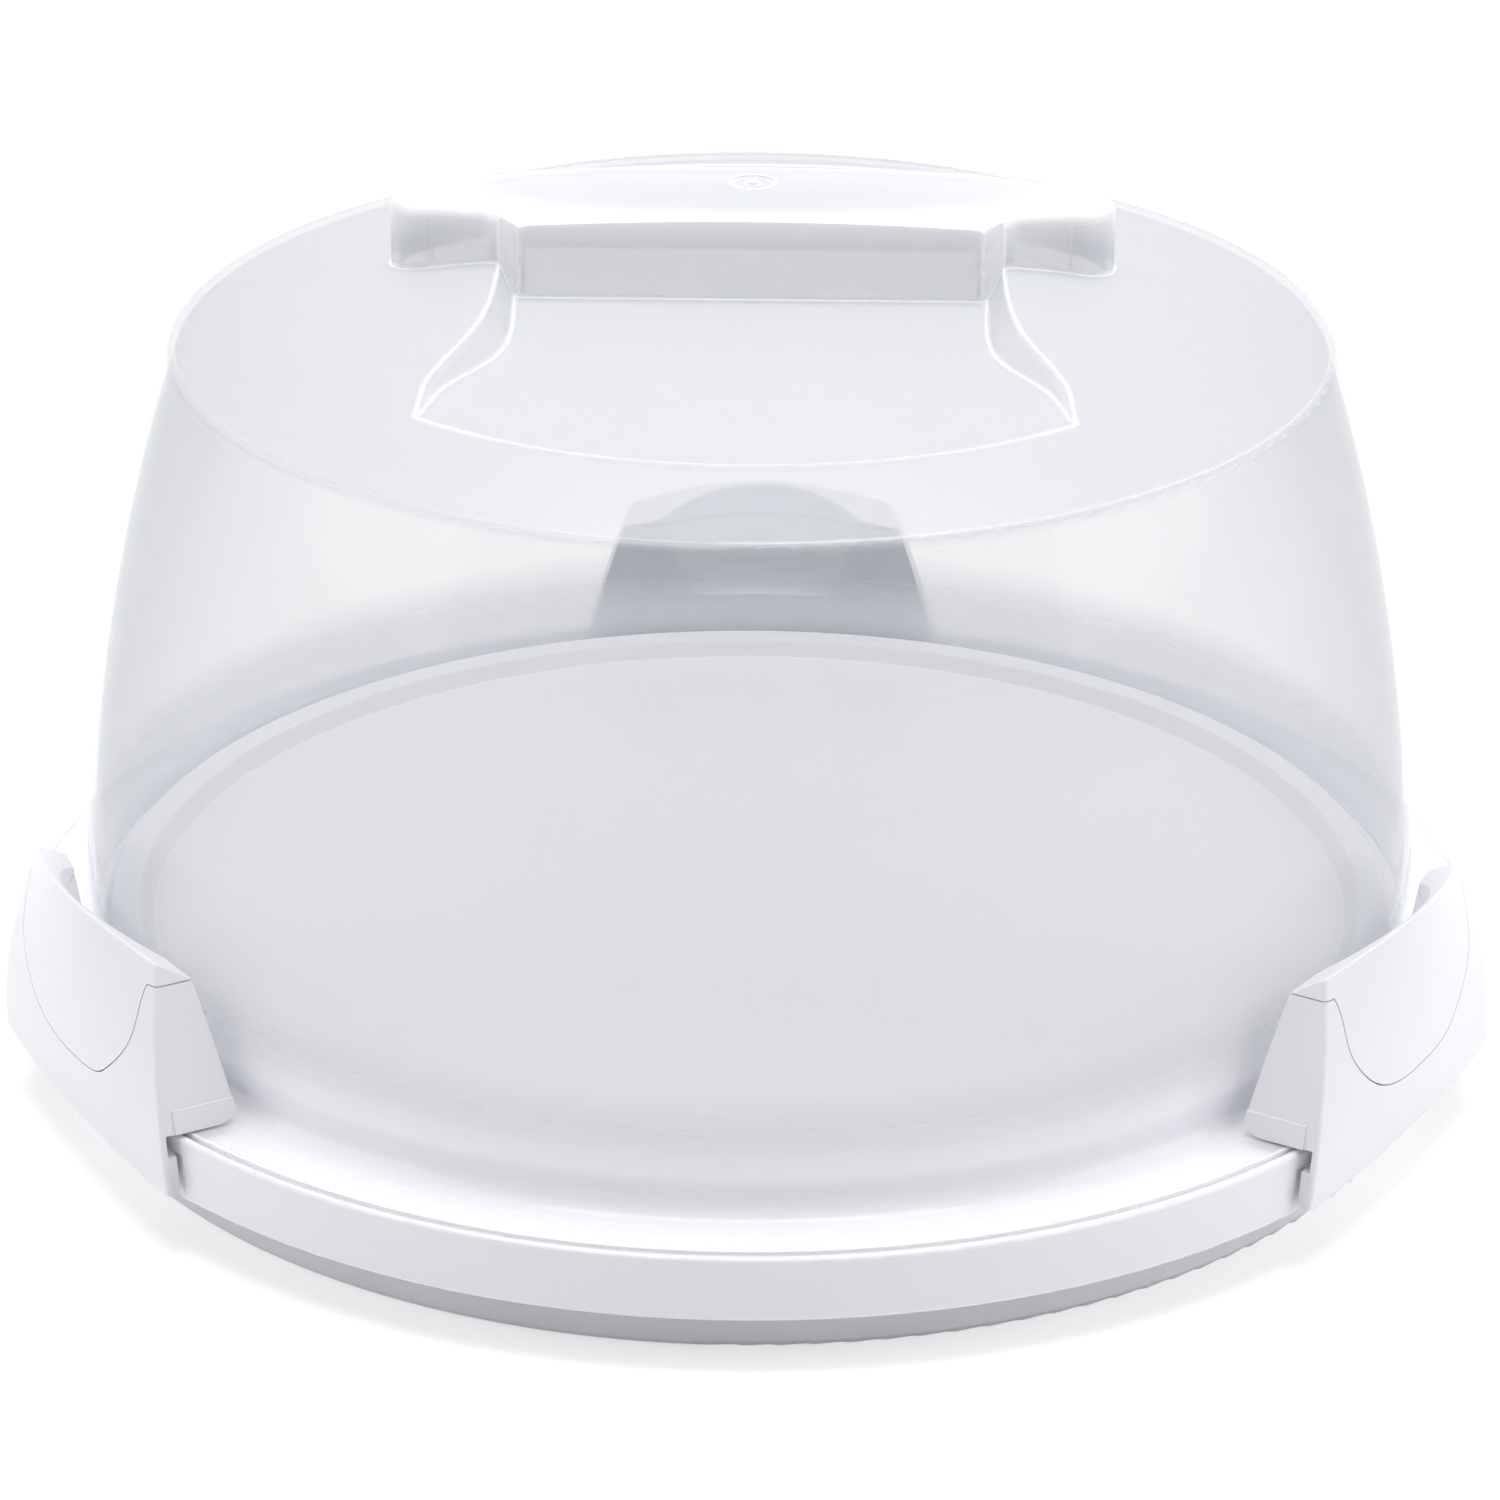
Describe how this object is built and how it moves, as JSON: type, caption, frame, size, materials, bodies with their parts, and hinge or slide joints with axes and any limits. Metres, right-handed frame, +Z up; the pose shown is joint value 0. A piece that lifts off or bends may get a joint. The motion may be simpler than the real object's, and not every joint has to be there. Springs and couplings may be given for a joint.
{
  "type": "cake carrier",
  "caption": "Round cake carrier: white tray on a grey foot ring, clear domed cover with carrying bar, hinged side latches.",
  "frame": {"origin": "centre of the foot ring's underside, on the table", "axes": "+Z up along the carrier's round axis, +X along the carrying bar to the right, -Y to the front, between two latches"},
  "size_m": [0.356, 0.357, 0.212],
  "materials": {
    "tray_plastic": "satin",
    "foot_rubber": "matte",
    "cover_plastic": "translucent, milky on top and clear at the side",
    "latch_plastic": "satin",
    "pin_plastic": "satin"
  },
  "bodies": {
    "tray": {"base_tray": "tray_plastic", "foot_ring": "foot_rubber"},
    "cover": {"cover_dome": "cover_plastic"},
    "latch_left": {"latch_body_left": "latch_plastic", "latch_cap_left": "latch_plastic", "hinge_pin_left": "pin_plastic"},
    "latch_right": {"latch_body_right": "latch_plastic", "latch_cap_right": "latch_plastic", "hinge_pin_right": "pin_plastic"},
    "latch_rear": {"latch_body_rear": "latch_plastic", "latch_cap_rear": "latch_plastic", "hinge_pin_rear": "pin_plastic"}
  },
  "joints": [
    {"name": "cover_lift", "type": "slide", "parent": "tray", "child": "cover", "axis": [0, 0, 1], "range_m": [0, 0.27]},
    {"name": "latch_left_hinge", "type": "hinge", "parent": "tray", "child": "latch_left", "pos_m": [-0.1493, -0.0862, 0.0152], "axis": [0.5, -0.866, 0], "range_deg": [0, 95]},
    {"name": "latch_right_hinge", "type": "hinge", "parent": "tray", "child": "latch_right", "pos_m": [0.1493, -0.0862, 0.0152], "axis": [0.5, 0.866, 0], "range_deg": [0, 95]},
    {"name": "latch_rear_hinge", "type": "hinge", "parent": "tray", "child": "latch_rear", "pos_m": [0, 0.1724, 0.0152], "axis": [-1, 0, 0], "range_deg": [0, 95]}
  ]
}
